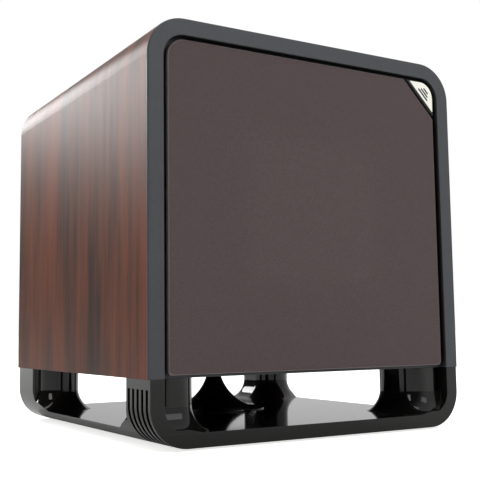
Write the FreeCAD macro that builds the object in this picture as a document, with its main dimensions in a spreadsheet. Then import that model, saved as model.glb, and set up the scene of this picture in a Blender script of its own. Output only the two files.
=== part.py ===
import FreeCAD, Part
import math
import os

import Sketcher

# Powered subwoofer: a wood-wrapped cabinet with a moulded front, a ten-inch driver behind a pull-off
# grille, a downward port over an open four-legged base, and an amplifier panel on the rear.
#
# Millimetres. +Z is up, +X is to the right seen from the front, and the front faces -Y. The origin is
# under the middle of the whole object, on the surface that it stands on.

DRIVING = {
    # cabinet
    "cabinet_width": 356.0,
    "overall_height": 383.0,
    "cabinet_depth": 368.0,
    "rear_reach": 18.0,
    "corner_radius": 37.0,
    "wrap_thickness": 13.0,
    "board_thickness": 18.0,
    "parting_height": 62.0,
    # moulded front
    "band_width": 15.5,
    "band_depth": 3.0,
    "recess_depth": 9.0,
    "skin_thickness": 3.0,
    # driver
    "driver_height": 214.7,
    "trim_radius": 136.0,
    "flange_radius": 127.0,
    "slope_radius": 115.2,
    "cone_radius": 91.0,
    "cap_radius": 47.0,
    "coil_radius": 25.6,
    "magnet_radius": 68.0,
    # grille and badge
    "grille_half_width": 157.5,
    "grille_bottom": 64.7,
    "grille_top": 364.0,
    "badge_leg": 37.0,
    "peg_radius": 3.0,
    "peg_spacing": 238.0,
    "peg_low_height": 97.0,
    "peg_rise": 236.8,
    # base
    "base_inset": 2.0,
    "base_radius": 36.0,
    "plate_top": 15.0,
    "foot_height": 2.0,
    "block_length": 52.0,
    "leg_radius": 23.0,
    "leg_corner": 20.0,
    "flare_radius": 38.0,
    "diffuser_radius": 57.0,
    "port_offset": 13.0,
    "port_radius": 34.0,
    # amplifier
    "amp_half_width": 95.0,
    "amp_low": 112.0,
    "amp_high": 348.0,
    "knob_radius": 9.5,
    "control_row": 214.0,
    "socket_row": 158.0,
}

SCREW_COUNT = 8
SLOT_WIDTH = 5.0
SLOT_PITCH = 9.4
SLOT_DEPTH = 4.0
SLOT_TOP = 53.0
GROOVE_WIDTH = 3.5
GROOVE_DEPTH = 12.0
FACE_ROUND = 6.0
LEG_EDGE = 3.0
ROCKER_TILT = 8.0

doc = FreeCAD.newDocument("Subwoofer")
sheet = doc.addObject("Spreadsheet::Sheet", "Sheet")
cuts = []
subparts = []


class Dim:
    """A length that carries its number and the expression it is bound by."""

    def __init__(self, value, text):
        self.value = value
        self.text = text

    @staticmethod
    def of(thing):
        if isinstance(thing, Dim):
            return thing
        return Dim(float(thing), "(%s)" % float(thing))

    def join(self, other, sign, value):
        return Dim(value, "(%s %s %s)" % (self.text, sign, Dim.of(other).text))

    def __add__(self, other):
        return self.join(other, "+", self.value + Dim.of(other).value)

    def __sub__(self, other):
        return self.join(other, "-", self.value - Dim.of(other).value)

    def __mul__(self, other):
        return self.join(other, "*", self.value * Dim.of(other).value)

    def __truediv__(self, other):
        return self.join(other, "/", self.value / Dim.of(other).value)

    def __radd__(self, other):
        return Dim.of(other) + self

    def __rsub__(self, other):
        return Dim.of(other) - self

    def __rmul__(self, other):
        return Dim.of(other) * self

    def __neg__(self):
        return Dim.of(0) - self

    def root(self):
        return Dim(math.sqrt(self.value), "sqrt(%s)" % self.text)


class Sizes:
    """The driving dimensions by name, and the places worked out from them."""


def fill_sheet():
    for row, (alias, value) in enumerate(DRIVING.items(), start=1):
        sheet.set("A%d" % row, alias)
        sheet.set("B%d" % row, str(value))
        sheet.setAlias("B%d" % row, alias)
        setattr(Sizes, alias, Dim(value, "Sheet." + alias))
    doc.recompute()


fill_sheet()
S = Sizes
S.half = S.cabinet_width / 2
S.front = -(S.cabinet_depth + S.rear_reach) / 2
S.rear = S.front + S.cabinet_depth
S.middle = (S.front + S.rear) / 2
S.top = S.overall_height
S.wrap_front = S.front + S.band_depth
S.inner_half = S.half - S.wrap_thickness
S.inner_top = S.top - S.wrap_thickness
S.inner_radius = S.corner_radius - S.wrap_thickness
S.floor_top = S.parting_height + S.board_thickness
S.skin_front = S.front + S.recess_depth
S.skin_back = S.skin_front + S.skin_thickness
S.recess_half = S.half - S.band_width
S.recess_top = S.top - S.band_width
S.recess_radius = S.corner_radius - S.band_width
S.flange_front = S.skin_back + 5
S.flange_back = S.flange_front + 3
S.baffle_back = S.skin_back + 20
S.grille_front = S.front + 1
S.cloth_back = S.grille_front + 1
S.grille_back = S.cloth_back + 5
S.peg_high = S.peg_low_height + S.peg_rise
S.base_half = S.half - S.base_inset
S.arc_x = S.base_half - S.base_radius
S.arc_z = S.foot_height + S.base_radius
S.plate_drop = S.arc_z - S.plate_top
S.plate_half = S.arc_x + (S.base_radius * S.base_radius - S.plate_drop * S.plate_drop).root()
S.leg_x = S.base_half - 29.5
S.leg_y = S.front + S.block_length + 1
S.leg_inside = S.leg_x - S.leg_radius
S.leg_face = S.front + 10
S.leg_corner_y = S.leg_face + S.leg_corner
S.screw_circle = S.slope_radius + 6.3
S.plate_back = S.rear + 1
S.plate_face = S.plate_back + 2

PEG_PLACES = [
    (side * S.peg_spacing.value / 2, height)
    for side in (-1, 1)
    for height in (S.peg_low_height.value, S.peg_high.value)
]
FOOT_X = 122.0
FOOT_SETBACK = 33.0
FOOT_PLACES = [
    (side * FOOT_X, S.middle.value + end * (S.cabinet_depth.value / 2 - FOOT_SETBACK))
    for side in (-1, 1)
    for end in (-1, 1)
]
LEG_PLACES = [
    (side * S.leg_x.value, S.middle.value + end * (S.middle.value - S.leg_y.value))
    for side in (-1, 1)
    for end in (-1, 1)
]
AMP_SCREW_X = 89.5
AMP_SCREW_PLACES = [(side * AMP_SCREW_X, 120.0 + 55.0 * step) for side in (-1, 1) for step in range(5)]
VOLUME_X = 62.0
CROSSOVER_X = 22.0
PHASE_X = -20.0
MODE_X = -60.0
JACK_XS = (70.0, 50.0, 30.0)
ROCKER_X = -14.0
INLET_X = -60.0
LED_X = 74.0


# ---------------------------------------------------------------- modelling helpers


def bind(thing, prop, value):
    """Bind a property to a dimension's expression."""
    thing.setExpression(prop, Dim.of(value).text)


def new_body(name, x=0, y=0, z=0):
    body = doc.addObject("PartDesign::Body", name)
    body.Label = name
    for letter, value in zip("xyz", (x, y, z)):
        bind(body, "Placement.Base." + letter, value)
    return body


def keep(thing):
    """Mark an object as a sub-part that gets its own file."""
    subparts.append(thing)
    return thing


def new_sketch(body, plane, name, level=0, shift=(0, 0)):
    sketch = body.newObject("Sketcher::SketchObject", name)
    support = [f for f in body.Origin.OriginFeatures if f.Role == plane][0]
    sketch.AttachmentSupport = [(support, "")]
    sketch.MapMode = "FlatFace"
    for letter, value in zip("xyz", (shift[0], shift[1], level)):
        bind(sketch, "AttachmentOffset.Base." + letter, value)
    return sketch


def arc_between(start, end, radius, turn):
    """The short arc between two points, anticlockwise for turn 1 and clockwise for -1."""
    chord = end - start
    height = math.sqrt(max(radius**2 - (chord.Length / 2) ** 2, 0.0))
    left = FreeCAD.Vector(-chord.y, chord.x, 0).normalize()
    centre = (start + end) * 0.5 + left * (height * turn)
    first, last = (start, end) if turn > 0 else (end, start)
    angle_a = math.atan2(first.y - centre.y, first.x - centre.x)
    angle_b = math.atan2(last.y - centre.y, last.x - centre.x)
    if angle_b < angle_a:
        angle_b += 2 * math.pi
    circle = Part.Circle(centre, FreeCAD.Vector(0, 0, 1), radius)
    return Part.ArcOfCircle(circle, angle_a, angle_b)


def pin_value(sketch, kind, items, value):
    """Add one sized constraint and bind it to its dimension."""
    index = sketch.addConstraint(Sketcher.Constraint(kind, *items, value.value))
    sketch.setExpression("Constraints[%d]" % index, value.text)


def pin_point(sketch, geometry, position, u, v):
    """Hold one point at (u, v) from the sketch's origin."""
    for kind, axis, value in (("DistanceX", -2, u), ("DistanceY", -1, v)):
        if abs(value.value) < 1e-9:
            sketch.addConstraint(Sketcher.Constraint("PointOnObject", geometry, position, axis))
        else:
            pin_value(sketch, kind, (-1, 1, geometry, position), value)


def trace(sketch, path):
    """Draw a closed path. A corner written (u, v, radius, turn) is reached along an arc."""
    corners = [(Dim.of(corner[0]), Dim.of(corner[1])) for corner in path]
    points = [FreeCAD.Vector(u.value, v.value, 0) for u, v in corners]
    ends = []
    for index, corner in enumerate(path):
        start, end = points[index - 1], points[index]
        if len(corner) == 4:
            radius = Dim.of(corner[2])
            number = sketch.addGeometry(arc_between(start, end, radius.value, corner[3]))
            pin_value(sketch, "Radius", (number,), radius)
            ends.append((number, 1, 2) if corner[3] > 0 else (number, 2, 1))
        else:
            number = sketch.addGeometry(Part.LineSegment(start, end))
            ends.append((number, 1, 2))
    for index, (number, _, finish) in enumerate(ends):
        after, begin, _ = ends[(index + 1) % len(ends)]
        sketch.addConstraint(Sketcher.Constraint("Coincident", number, finish, after, begin))
        pin_point(sketch, number, finish, *corners[index])


def ring_of(sketch, circles):
    """Draw circles written (u, v, radius)."""
    for circle in circles:
        u, v, radius = (Dim.of(value) for value in circle)
        centre = FreeCAD.Vector(u.value, v.value, 0)
        number = sketch.addGeometry(Part.Circle(centre, FreeCAD.Vector(0, 0, 1), radius.value))
        pin_value(sketch, "Radius", (number,), radius)
        pin_point(sketch, number, 3, u, v)


def draw(body, name, plane, level, paths, circles, shift):
    sketch = new_sketch(body, plane, name + "_sketch", level, shift)
    for path in paths:
        trace(sketch, path)
    ring_of(sketch, circles)
    return sketch


def layer(body, name, low, high, paths=(), circles=(), plane="XZ_Plane", shift=(0, 0)):
    """Pad paths and circles from low to high along the plane's world axis."""
    low, high = Dim.of(low), Dim.of(high)
    level = -high if plane == "XZ_Plane" else low
    feature = body.newObject("PartDesign::Pad", name)
    feature.Profile = draw(body, name, plane, level, paths, circles, shift)
    bind(feature, "Length", high - low)
    body.Tip = feature
    return feature


def pocket(body, name, low, high, paths=(), circles=(), plane="XZ_Plane", shift=(0, 0)):
    """Cut paths and circles from low to high along the plane's world axis."""
    low, high = Dim.of(low), Dim.of(high)
    level = -low if plane == "XZ_Plane" else high
    feature = body.newObject("PartDesign::Pocket", name)
    feature.Profile = draw(body, name, plane, level, paths, circles, shift)
    bind(feature, "Length", high - low)
    body.Tip = feature
    cuts.append(feature)
    return feature


def around(body, name, feature, count):
    """Repeat a feature around the normal through its sketch's origin."""
    pattern = body.newObject("PartDesign::PolarPattern", name)
    pattern.Originals = [feature]
    pattern.Axis = (feature.Profile[0], ["N_Axis"])
    pattern.Angle = 360
    pattern.Occurrences = count
    body.Tip = pattern
    return pattern


def along(body, name, feature, axis, length, count):
    """Repeat a feature in a row along one of its sketch's axes."""
    pattern = body.newObject("PartDesign::LinearPattern", name)
    pattern.Originals = [feature]
    pattern.Direction = (feature.Profile[0], [axis])
    bind(pattern, "Length", length)
    pattern.Occurrences = count
    body.Tip = pattern
    return pattern


def turned(name, path, x=0, y=0, z=0, axis="y"):
    """Revolve a path about Y, drawn as (y, radius), or about Z, drawn as (radius, z)."""
    body = new_body(name, x, y, z)
    plane, line = ("YZ_Plane", "H_Axis") if axis == "y" else ("XZ_Plane", "V_Axis")
    sketch = new_sketch(body, plane, name + "_profile")
    trace(sketch, path)
    feature = body.newObject("PartDesign::Revolution", name + "_turn")
    feature.Profile = sketch
    feature.ReferenceAxis = (sketch, [line])
    feature.Angle = 360
    body.Tip = feature
    return body


def driver_part(name, path):
    """A sub-part turned about the driver's axis."""
    return keep(turned(name, path, z=S.driver_height))


def tube_path(low, high, inner, outer):
    return [(low, inner), (low, outer), (high, outer), (high, inner)]


def rectangle(left, low, right, high):
    return [(left, low), (right, low), (right, high), (left, high)]


def arch(half, low, high, radius, turn=-1):
    """The outline of the cabinet's section: square at the bottom, rounded at the top."""
    half, high, radius = Dim.of(half), Dim.of(high), Dim.of(radius)
    corners = [
        (-half, low),
        (-half, high - radius),
        (radius - half, high, radius, turn),
        (half - radius, high),
        (half, high - radius, radius, turn),
        (half, low),
    ]
    return corners


def arch_band(half, low, high, radius, width):
    """A band of even width that follows the arch."""
    half, high, radius, width = Dim.of(half), Dim.of(high), Dim.of(radius), Dim.of(width)
    inner_half, inner_high, inner_radius = half - width, high - width, radius - width
    outside = arch(half, low, high, radius)
    inside = [
        (inner_half, low),
        (inner_half, inner_high - inner_radius),
        (inner_half - inner_radius, inner_high, inner_radius, 1),
        (inner_radius - inner_half, inner_high),
        (-inner_half, inner_high - inner_radius, inner_radius, 1),
        (-inner_half, low),
    ]
    return outside + inside


def rounded(left, low, right, high, radius):
    """A rectangle with four equal round corners."""
    left, low, right, high = (Dim.of(value) for value in (left, low, right, high))
    return [
        (left + radius, low, radius, 1),
        (right - radius, low),
        (right, low + radius, radius, 1),
        (right, high - radius),
        (right - radius, high, radius, 1),
        (left + radius, high),
        (left, high - radius, radius, 1),
        (left, low + radius),
    ]


def block(name, x0, x1, y0, y1, z0, z1):
    """A box between two corners."""
    box = doc.addObject("Part::Box", name)
    box.Label = name
    lows = [Dim.of(value) for value in (x0, y0, z0)]
    highs = [Dim.of(value) for value in (x1, y1, z1)]
    for prop, letter, low, high in zip(("Length", "Width", "Height"), "xyz", lows, highs):
        bind(box, prop, high - low)
        bind(box, "Placement.Base." + letter, low)
    return box


def rod(name, radius, low, high, u, v, axis="y"):
    """A cylinder along Y through (x, z), along Z through (x, y) or along X through (y, z)."""
    piece = doc.addObject("Part::Cylinder", name)
    piece.Label = name
    low, high = Dim.of(low), Dim.of(high)
    places = {"x": (low, u, v), "y": (u, low, v), "z": (u, v, low)}
    turns = {
        "x": FreeCAD.Rotation(FreeCAD.Vector(0, 1, 0), 90),
        "y": FreeCAD.Rotation(FreeCAD.Vector(1, 0, 0), -90),
        "z": FreeCAD.Rotation(),
    }
    piece.Placement = FreeCAD.Placement(FreeCAD.Vector(), turns[axis])
    bind(piece, "Radius", radius)
    bind(piece, "Height", high - low)
    for letter, value in zip("xyz", places[axis]):
        bind(piece, "Placement.Base." + letter, value)
    return piece


def cut(name, base, tool):
    result = doc.addObject("Part::Cut", name)
    result.Label = name
    result.Base = base
    result.Tool = tool
    return result


def fuse(name, pieces):
    result = doc.addObject("Part::MultiFuse", name)
    result.Label = name
    result.Shapes = pieces
    return result


def group(name, pieces):
    """Separate solids that share one sub-part."""
    result = doc.addObject("Part::Compound", name)
    result.Label = name
    result.Links = pieces
    return keep(result)


def copies(name, master, places):
    """One solid copied to several places, given as (x, y, z)."""
    doc.recompute()
    shape = Part.Compound([master.Shape.copy().translated(FreeCAD.Vector(*place)) for place in places])
    result = doc.addObject("Part::Feature", name)
    result.Label = name
    result.Shape = shape
    result.Placement = FreeCAD.Placement()
    return keep(result)


def mirrored(name, source, normal):
    """A mirror image about the middle of the cabinet's width or depth."""
    result = doc.addObject("Part::Mirroring", name)
    result.Label = name
    result.Source = source
    result.Normal = FreeCAD.Vector(*normal)
    bind(result, "Base.y", S.middle)
    return result


def screw_master(name, head_radius, head_height, shank_radius, shank_length, axis="y"):
    """A screw with its head's underside at the origin and its shank along +Y or +Z."""
    if axis == "y":
        path = [
            (-head_height, 0),
            (-head_height, head_radius),
            (0, head_radius),
            (0, shank_radius),
            (shank_length, shank_radius),
            (shank_length, 0),
        ]
    else:
        path = [
            (0, -head_height),
            (head_radius, -head_height),
            (head_radius, 0),
            (shank_radius, 0),
            (shank_radius, shank_length),
            (0, shank_length),
        ]
    return turned(name, path, axis=axis)


# ---------------------------------------------------------------- cabinet


def build_cabinet():
    wrap = keep(new_body("cabinet_wrap"))
    band = arch_band(S.half, S.parting_height, S.top, S.corner_radius, S.wrap_thickness)
    layer(wrap, "wrap_pad", S.wrap_front, S.rear, [band])

    floor = keep(new_body("bottom_panel"))
    outline = rectangle(-S.inner_half, S.skin_back, S.inner_half, S.rear)
    layer(floor, "floor_pad", S.parting_height, S.floor_top, [outline], plane="XY_Plane")
    mouth = [(0, S.port_offset, S.port_radius + 16.05)]
    pocket(floor, "port_cut", S.parting_height, S.floor_top, circles=mouth, plane="XY_Plane")
    pilots = [(x, y, 2.2) for x, y in LEG_PLACES]
    pocket(floor, "leg_pilots", S.parting_height, S.parting_height + 14, circles=pilots, plane="XY_Plane")

    board = [arch(S.inner_half, S.floor_top, S.inner_top, S.inner_radius)]
    rear = keep(new_body("rear_panel"))
    layer(rear, "rear_pad", S.rear - S.board_thickness, S.rear, board)
    window = [rectangle(-80, S.amp_low + 13, 80, S.amp_high - 13)]
    pocket(rear, "amp_window", S.rear - S.board_thickness, S.rear, window)
    pilots = [(x, z, 1.8) for x, z in AMP_SCREW_PLACES]
    pocket(rear, "amp_pilots", S.rear - 14, S.rear, circles=pilots)

    brace = keep(new_body("window_brace"))
    layer(brace, "brace_pad", 62, 62 + S.board_thickness, board)
    pocket(brace, "brace_window", 62, 62 + S.board_thickness, [rounded(-110, 125, 110, 325, 12)])

    baffle = keep(new_body("baffle_board"))
    layer(baffle, "baffle_pad", S.skin_back, S.baffle_back, board)
    hub = (0, S.driver_height)
    pocket(baffle, "driver_hole", S.skin_back, S.baffle_back, circles=[(0, 0, 112)], shift=hub)
    seat = [(0, 0, S.flange_radius + 1.5)]
    pocket(baffle, "driver_seat", S.skin_back, S.flange_back + 1.5, circles=seat, shift=hub)
    sockets = [(x, z, 4.55) for x, z in PEG_PLACES]
    pocket(baffle, "socket_holes", S.skin_back, S.skin_front + 12, circles=sockets)
    pilot = [(S.screw_circle, 0, 2.2)]
    hole = pocket(baffle, "driver_pilot", S.flange_back + 1.5, S.baffle_back, circles=pilot, shift=hub)
    around(baffle, "driver_pilots", hole, SCREW_COUNT)

    sides = [
        block("wadding_%d" % side, *sorted((side * 147, side * 164.4)), -120, 55, 95, 340)
        for side in (-1, 1)
    ]
    group("damping_wadding", sides)


def outer_front_edges(shape):
    """The edges of the outer outline on the front face."""
    names = []
    for number, edge in enumerate(shape.Edges, start=1):
        box = edge.BoundBox
        on_front = abs(box.YMin - S.front.value) < 0.01 and abs(box.YMax - S.front.value) < 0.01
        reach_x = max(abs(box.XMin), abs(box.XMax))
        outside = reach_x > S.half.value - 0.01 or box.ZMax > S.top.value - 0.01
        if on_front and outside and box.ZMax > S.parting_height.value + 0.01:
            names.append("Edge%d" % number)
    return names


def build_front():
    bezel = keep(new_body("front_bezel"))
    band = arch_band(S.half, S.parting_height, S.top, S.corner_radius, S.band_width)
    layer(bezel, "band_pad", S.front, S.wrap_front, [band])
    wall = arch_band(
        S.inner_half, S.parting_height, S.inner_top, S.inner_radius, S.band_width - S.wrap_thickness
    )
    layer(bezel, "wall_pad", S.wrap_front, S.skin_back, [wall])
    skin = arch(S.recess_half, S.parting_height, S.recess_top, S.recess_radius)
    layer(bezel, "skin_pad", S.skin_front, S.skin_back, [skin])
    hub = (0, S.driver_height)
    hole = [(0, 0, S.trim_radius + 1)]
    pocket(bezel, "trim_hole", S.skin_front, S.skin_back, circles=hole, shift=hub)
    sockets = [(x, z, 4.55) for x, z in PEG_PLACES]
    pocket(bezel, "bezel_sockets", S.skin_front, S.skin_back, circles=sockets)
    doc.recompute()
    square = bezel.Tip
    rounding = bezel.newObject("PartDesign::Fillet", "band_round")
    rounding.Base = (square, outer_front_edges(square.Shape))
    rounding.Radius = 1.4
    bezel.Tip = rounding

    badge = keep(new_body("corner_badge"))
    right, high, leg = S.grille_half_width, S.grille_top, S.badge_leg
    plate = [
        (right - leg, high),
        (right, high - leg),
        (right, high - 17),
        (right - 17, high, 17, 1),
    ]
    layer(badge, "badge_plate", S.grille_front, S.grille_front + 2.5, [plate])
    post = [(right - 11.5, high - 11.5, 6)]
    layer(badge, "badge_post", S.grille_front + 2.5, S.skin_front, circles=post)

    socket = turned(
        "socket_master",
        [
            (-0.8, S.peg_radius + 0.08),
            (-0.8, 5.4),
            (0, 5.4),
            (0, 4.5),
            (12, 4.5),
            (12, 0),
            (10.5, 0),
            (10.5, S.peg_radius + 0.08),
        ],
    )
    copies("peg_sockets", socket, [(x, S.skin_front.value, z) for x, z in PEG_PLACES])


# ---------------------------------------------------------------- grille


def grille_outline(inset):
    """The grille's outline: three round corners, and the badge's corner cut off."""
    half = S.grille_half_width - inset
    low, high = S.grille_bottom + inset, S.grille_top - inset
    reach = S.badge_leg + 2
    return [
        (-half + 4, low, 4, 1),
        (half - 4, low),
        (half, low + 4, 4, 1),
        (half, high - reach),
        (half - reach, high),
        (-half + 17, high),
        (-half, high - 17, 17, 1),
        (-half, low + 4),
    ]


def build_grille():
    frame = keep(new_body("grille_frame"))
    layer(frame, "grille_pad", S.cloth_back, S.grille_back, [grille_outline(0.8)])
    hole = [(0, S.driver_height, S.trim_radius + 5)]
    pocket(frame, "grille_hole", S.cloth_back, S.grille_back, circles=hole)
    cloth = keep(new_body("grille_cloth"))
    layer(cloth, "cloth_pad", S.grille_front, S.cloth_back, [grille_outline(0)])
    pegs = [
        rod("peg_%d" % number, S.peg_radius, S.grille_back, S.skin_front + 9, x, z)
        for number, (x, z) in enumerate(PEG_PLACES)
    ]
    group("grille_pegs", pegs)


# ---------------------------------------------------------------- driver


def build_trim():
    rim = 3.0
    driver_part(
        "trim_ring",
        [
            (S.skin_back, S.flange_radius + 0.6),
            (S.skin_back, S.trim_radius),
            (S.skin_front - rim, S.trim_radius),
            (S.skin_front - 2 * rim, S.trim_radius - rim, rim, 1),
            (S.skin_front - rim, S.trim_radius - 2 * rim, rim, 1),
            (S.skin_front - 2, S.trim_radius - 2 * rim),
            (S.skin_front - 2, S.flange_radius + 0.6),
        ],
    )
    edge = S.flange_radius + 0.3
    driver_part(
        "trim_cone",
        [
            (S.skin_front - 4.5, edge),
            (S.flange_front - 2.5, S.slope_radius),
            (S.flange_front, S.slope_radius),
            (S.flange_front, S.slope_radius + 1.6),
            (S.flange_front - 2, S.slope_radius + 1.6),
            (S.skin_front - 2.9, edge),
        ],
    )


def build_basket():
    flange, back = S.flange_front, S.flange_back
    basket = driver_part(
        "driver_basket",
        [
            (flange, 108.5),
            (flange, S.flange_radius),
            (back, S.flange_radius),
            (back, 111.5),
            (back + 44, 70),
            (back + 64, 70),
            (back + 64, 29),
            (back + 61, 29),
            (back + 61, 60),
            (back + 45, 60),
            (back + 45, 66),
            (back, 108.5),
        ],
    )
    window = [(76, -24), (104, -32), (104, 32), (76, 24)]
    opening = pocket(basket, "basket_window", flange, back + 60, [window])
    around(basket, "basket_windows", opening, 6)
    clearance = [(S.screw_circle, 0, 2.4)]
    hole = pocket(basket, "flange_hole", flange, back, circles=clearance)
    around(basket, "flange_holes", hole, SCREW_COUNT)
    gasket = driver_part("basket_gasket", tube_path(back, back + 1.5, 113, S.flange_radius))
    hole = pocket(gasket, "gasket_hole", back, back + 1.5, circles=clearance)
    around(gasket, "gasket_holes", hole, SCREW_COUNT)
    screw = screw_master("driver_screw_master", 3.5, 2.0, 2.2, 16.0)
    places = []
    for step in range(SCREW_COUNT):
        angle = 2 * math.pi * step / SCREW_COUNT
        x = S.screw_circle.value * math.cos(angle)
        z = S.screw_circle.value * math.sin(angle)
        places.append((x, flange.value, S.driver_height.value + z))
    copies("driver_screws", screw, places)
    strip = block("strip_block", 70.4, 74, back + 46, back + 60, S.driver_height - 12, S.driver_height + 12)
    tabs = [
        block("strip_tab_%d" % side, 74, 84, back + 50, back + 56, *zs)
        for side, zs in (
            (-1, (S.driver_height - 8, S.driver_height - 7)),
            (1, (S.driver_height + 7, S.driver_height + 8)),
        )
    ]
    keep(fuse("terminal_strip", [strip] + tabs))


def build_motor():
    plate = S.flange_back + 64
    driver_part("top_plate", tube_path(plate, plate + 6, S.coil_radius + 2, 62))
    driver_part("magnet", tube_path(plate + 6, plate + 26, 32, S.magnet_radius))
    pole = S.coil_radius - 1.1
    driver_part(
        "pole_yoke",
        [
            (plate - 1, 8),
            (plate - 1, pole),
            (plate + 26, pole),
            (plate + 26, 64),
            (plate + 34, 64),
            (plate + 34, 8),
        ],
    )
    boot = S.magnet_radius + 0.3
    driver_part(
        "magnet_boot",
        [
            (plate + 0.5, boot),
            (plate + 0.5, boot + 2.2),
            (plate + 35.8, boot + 2.2),
            (plate + 35.8, 20),
            (plate + 34.1, 20),
            (plate + 34.1, boot),
        ],
    )


def dome_radius(rim, rise):
    """The radius of a dome from its rim radius and its height."""
    return (rim * rim + rise * rise) / (2 * rise)


def build_moving_parts():
    land = S.flange_front - 1.2
    outer, inner = 111.5, S.cone_radius
    roll = 11.0
    driver_part(
        "surround",
        [
            (land, S.slope_radius - 0.3),
            (land, outer),
            (land, inner, roll, 1),
            (land, 86.5),
            (S.flange_front, 86.5),
            (S.flange_front, inner + 0.6),
            (S.flange_front, outer - 0.6, roll - 0.9, -1),
            (S.flange_front, S.slope_radius - 0.3),
        ],
    )
    neck = land + 26.7
    bore = S.coil_radius + 0.05
    driver_part(
        "woofer_cone",
        [
            (land - 1, S.cone_radius),
            (land - 1, 84.6),
            (neck - 1, bore),
            (neck + 4, bore),
            (neck + 4, bore + 1.9),
            (neck + 1.3, bore + 1.9),
            (land, 86.3),
            (land, S.cone_radius),
        ],
    )
    rim = land + 15.9
    rise, inner_rise = 14, 12.8
    inner_rim = S.cap_radius - 1.5
    driver_part(
        "dust_cap",
        [
            (rim, S.cap_radius),
            (rim - rise, 0, dome_radius(S.cap_radius, rise), 1),
            (rim - inner_rise, 0),
            (rim, inner_rim, dome_radius(inner_rim, inner_rise), -1),
        ],
    )
    driver_part("voice_coil_former", tube_path(neck - 1, neck + 51.5, S.coil_radius - 0.4, S.coil_radius))
    driver_part("voice_coil", tube_path(neck + 31.5, neck + 51.5, S.coil_radius, S.coil_radius + 1.3))
    shelf = S.flange_back + 44
    front_side = [(shelf, 65.5), (shelf, 60)]
    wave = 2.0
    for step in range(6):
        wave = -wave
        front_side.append((shelf + wave, 55 - 5 * step))
    front_side.append((shelf, bore))
    back_side = [(y + 0.8, radius) for y, radius in reversed(front_side)]
    driver_part("spider", front_side + back_side)


# ---------------------------------------------------------------- base


def slot_cutter(name, first_y):
    """Five upright slots that follow the block's side and its round lower corner."""
    band = [
        (S.base_half + 1, SLOT_TOP),
        (S.base_half + 1, S.arc_z),
        (S.arc_x, S.foot_height - 1, S.base_radius + 1, -1),
        (S.arc_x, S.foot_height + SLOT_DEPTH),
        (S.base_half - SLOT_DEPTH, S.arc_z, S.base_radius - SLOT_DEPTH, 1),
        (S.base_half - SLOT_DEPTH, SLOT_TOP),
    ]
    pieces = []
    for step in range(5):
        start = first_y + SLOT_PITCH * step
        piece = new_body("%s_%d" % (name, step))
        layer(piece, "%s_%d_pad" % (name, step), start, start + SLOT_WIDTH, [band])
        pieces.append(piece)
    return fuse(name + "_row", pieces)


def leg_flares():
    """The sweep of a leg into the plate: round the column, the front corner and the sides between them."""
    low, high = S.plate_top, S.arc_z
    width, height = S.flare_radius - S.leg_radius, S.plate_drop
    bend = (width * width + height * height) / (2 * width)
    corner_x = S.leg_inside + S.leg_corner
    column = turned(
        "column_flare",
        [(0, low), (S.flare_radius, low), (S.leg_radius, high, bend, -1), (0, high)],
        x=S.leg_x,
        y=S.leg_y,
        axis="z",
    )
    corner = turned(
        "corner_flare",
        [(0, low), (S.leg_corner + width, low), (S.leg_corner, high, bend, -1), (0, high)],
        x=corner_x,
        y=S.leg_corner_y,
        axis="z",
    )
    side = new_body("side_flare")
    profile = [(corner_x, low), (corner_x, high), (S.leg_inside, high), (S.leg_inside - width, low, bend, -1)]
    layer(side, "side_flare_pad", S.leg_corner_y, S.leg_y, [profile])
    face = new_body("face_flare")
    back = S.leg_face + 5
    profile = [(back, low), (back, high), (S.leg_face, high), (S.leg_face - width, low, bend, -1)]
    layer(face, "face_flare_pad", corner_x, S.recess_half, [profile], plane="YZ_Plane")
    sweep = new_body("frame_corner")
    profile = [(S.recess_half - height, low, height, -1), (S.recess_half, low), (S.recess_half, high)]
    layer(sweep, "frame_corner_pad", S.front, S.leg_face + GROOVE_DEPTH, [profile])
    return [column, corner, side, face, sweep]


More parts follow.
